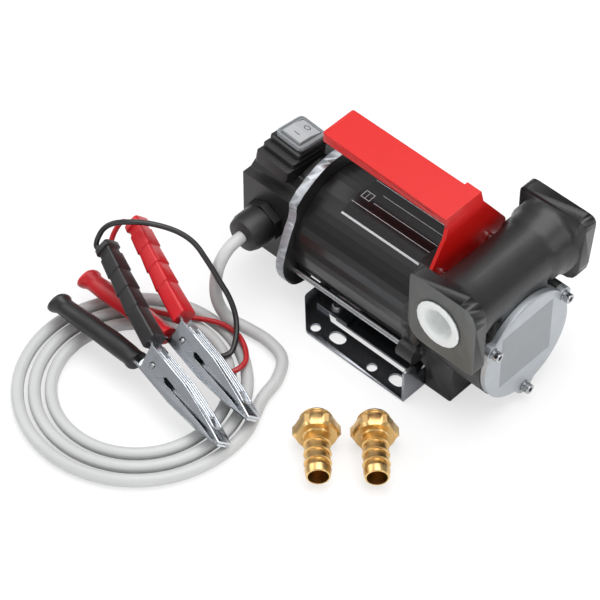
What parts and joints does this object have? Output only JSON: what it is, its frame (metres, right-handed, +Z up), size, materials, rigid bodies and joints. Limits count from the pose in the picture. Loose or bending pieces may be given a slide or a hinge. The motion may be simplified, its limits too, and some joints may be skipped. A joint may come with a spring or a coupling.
{
  "type": "fluid transfer pump",
  "caption": "Portable 12 V vane pump for diesel: black motor, side ports with plugs, red carry handle, steel base, cable with battery clamps and loose hose tails.",
  "frame": {"origin": "centre of the base plate's underside, on the ground", "axes": "+X along the motor shaft towards the pump's end cover, +Y towards the rear port, +Z up"},
  "size_m": [0.3242, 0.3675, 0.168],
  "materials": {
    "zinc_plate": "zinc plated steel, slightly dull",
    "motor_black": "satin black paint",
    "ferrite": "raw ferrite",
    "copper": "copper windings and segments",
    "steel": "bright steel",
    "carbon": "carbon and dark moulding",
    "cast_silver": "sand-blasted cast aluminium",
    "cast_black": "black textured paint on a casting",
    "black_plastic": "moulded black plastic",
    "grey_plastic": "moulded light grey plastic",
    "black_rubber": "soft black rubber",
    "red_rubber": "soft red rubber",
    "white_plastic": "milky moulded plastic",
    "red_paint": "gloss red powder coat",
    "brass": "turned brass",
    "cable_sheath": "smooth light grey sheath"
  },
  "bodies": {
    "frame": {"base_plate": "zinc_plate", "motor_cradle": "zinc_plate", "black_lower_jaw": "zinc_plate", "red_lower_jaw": "zinc_plate", "motor_can": "motor_black", "magnet_upper": "ferrite", "magnet_lower": "ferrite", "rear_bearing": "steel", "drive_bearing": "steel", "tie_rod_front": "steel", "tie_rod_rear": "steel", "cover_screw_1": "steel", "cover_screw_2": "steel", "cover_screw_3": "steel", "bypass_spring": "steel", "bypass_retainer": "steel", "handle_screw_front": "steel", "handle_screw_rear": "steel", "black_clamp_pin": "steel", "black_clamp_spring": "steel", "red_clamp_pin": "steel", "red_clamp_spring": "steel", "brush_holder": "carbon", "brush_front": "carbon", "brush_rear": "carbon", "end_bracket": "cast_silver", "end_cover": "cast_silver", "pump_body": "cast_black", "switch_housing": "black_plastic", "gland_body": "black_plastic", "gland_nut": "black_plastic", "switch_bezel": "grey_plastic", "cover_seal": "black_rubber", "shaft_seal": "black_rubber", "black_lower_grip": "black_rubber", "black_lead": "black_rubber", "red_lower_grip": "red_rubber", "red_lead": "red_rubber", "carry_handle": "red_paint", "hose_tail_left": "brass", "hose_tail_right": "brass", "supply_cable": "cable_sheath"},
    "rotor": {"armature": "copper", "motor_shaft": "steel", "commutator": "copper", "vane_rotor": "steel"},
    "vane_1": {"vane_1": "carbon"},
    "vane_2": {"vane_2": "carbon"},
    "vane_3": {"vane_3": "carbon"},
    "vane_4": {"vane_4": "carbon"},
    "vane_5": {"vane_5": "carbon"},
    "bypass": {"bypass_poppet": "brass"},
    "rocker": {"rocker_switch": "grey_plastic"},
    "front_plug": {"port_plug_front": "white_plastic"},
    "rear_plug": {"port_plug_rear": "white_plastic"},
    "black_jaw": {"black_upper_jaw": "zinc_plate", "black_upper_grip": "black_rubber"},
    "red_jaw": {"red_upper_jaw": "zinc_plate", "red_upper_grip": "red_rubber"}
  },
  "joints": [
    {"name": "rotor_spin", "type": "hinge", "parent": "frame", "child": "rotor", "pos_m": [0, 0, 0.0605], "axis": [1, 0, 0], "continuous": true},
    {"name": "vane_1_slide", "type": "slide", "parent": "rotor", "child": "vane_1", "axis": [0, 0, 1], "range_m": [0, 0.0012]},
    {"name": "vane_2_slide", "type": "slide", "parent": "rotor", "child": "vane_2", "axis": [0, -0.9511, 0.309], "range_m": [0, 0.0012]},
    {"name": "vane_3_slide", "type": "slide", "parent": "rotor", "child": "vane_3", "axis": [0, -0.5878, -0.809], "range_m": [0, 0.0012]},
    {"name": "vane_4_slide", "type": "slide", "parent": "rotor", "child": "vane_4", "axis": [0, 0.5878, -0.809], "range_m": [0, 0.0012]},
    {"name": "vane_5_slide", "type": "slide", "parent": "rotor", "child": "vane_5", "axis": [0, 0.9511, 0.309], "range_m": [0, 0.0012]},
    {"name": "bypass_lift", "type": "slide", "parent": "frame", "child": "bypass", "axis": [0, 1, 0], "range_m": [0, 0.005], "stiffness_N_per_m": 800, "springref_m": -0.004, "deforming": ["bypass_spring"]},
    {"name": "rocker_tip", "type": "hinge", "parent": "frame", "child": "rocker", "pos_m": [-0.1008, -0.003, 0.127], "axis": [0.9962, 0, -0.0872], "range_deg": [0, 12]},
    {"name": "front_plug_pull", "type": "slide", "parent": "frame", "child": "front_plug", "axis": [0, -1, 0], "range_m": [0, 0.03]},
    {"name": "rear_plug_pull", "type": "slide", "parent": "frame", "child": "rear_plug", "axis": [0, 1, 0], "range_m": [0, 0.03]},
    {"name": "black_clamp_open", "type": "hinge", "parent": "frame", "child": "black_jaw", "pos_m": [-0.0732, -0.19, 0.0312], "axis": [-0.011, -0.6744, 0.7383], "range_deg": [0, 16], "stiffness_Nm_per_rad": 1, "springref_deg": -17.19, "deforming": ["black_lead"]},
    {"name": "red_clamp_open", "type": "hinge", "parent": "frame", "child": "red_jaw", "pos_m": [-0.074, -0.1571, 0.0322], "axis": [-0.011, -0.6744, 0.7383], "range_deg": [0, 16], "stiffness_Nm_per_rad": 1, "springref_deg": -17.19, "deforming": ["red_lead"]}
  ]
}
